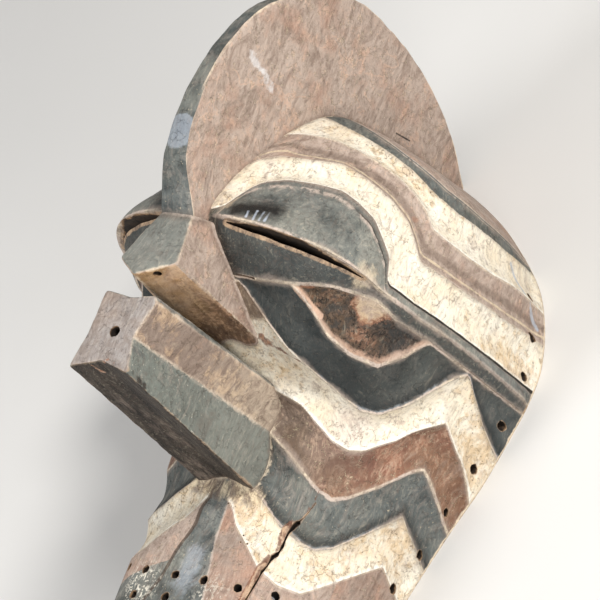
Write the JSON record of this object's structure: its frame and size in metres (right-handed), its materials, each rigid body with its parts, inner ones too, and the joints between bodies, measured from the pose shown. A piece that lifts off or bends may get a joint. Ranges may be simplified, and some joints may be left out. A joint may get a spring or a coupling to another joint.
{
  "type": "carved wooden mask",
  "caption": "Hollow carved face mask with a tall flat crest over the brow, hooded slit eyes, a wedge nose, a square jutting mouth and zigzag banded cheeks, with lacing holes near the rim.",
  "frame": {"origin": "middle of the footprint, in the plane of the flat back rim", "axes": "+Z out of the face, from the back rim to the end of the mouth and nose; +Y up the face to the crest; +X to the mask's own left"},
  "size_m": [0.31, 0.5204, 0.3477],
  "materials": {
    "painted_wood": "carved wood, matt, with worn clay paint in cream, mauve-brown and dark blue-grey"
  },
  "bodies": {
    "root": {"mask": "painted_wood"}
  },
  "joints": []
}
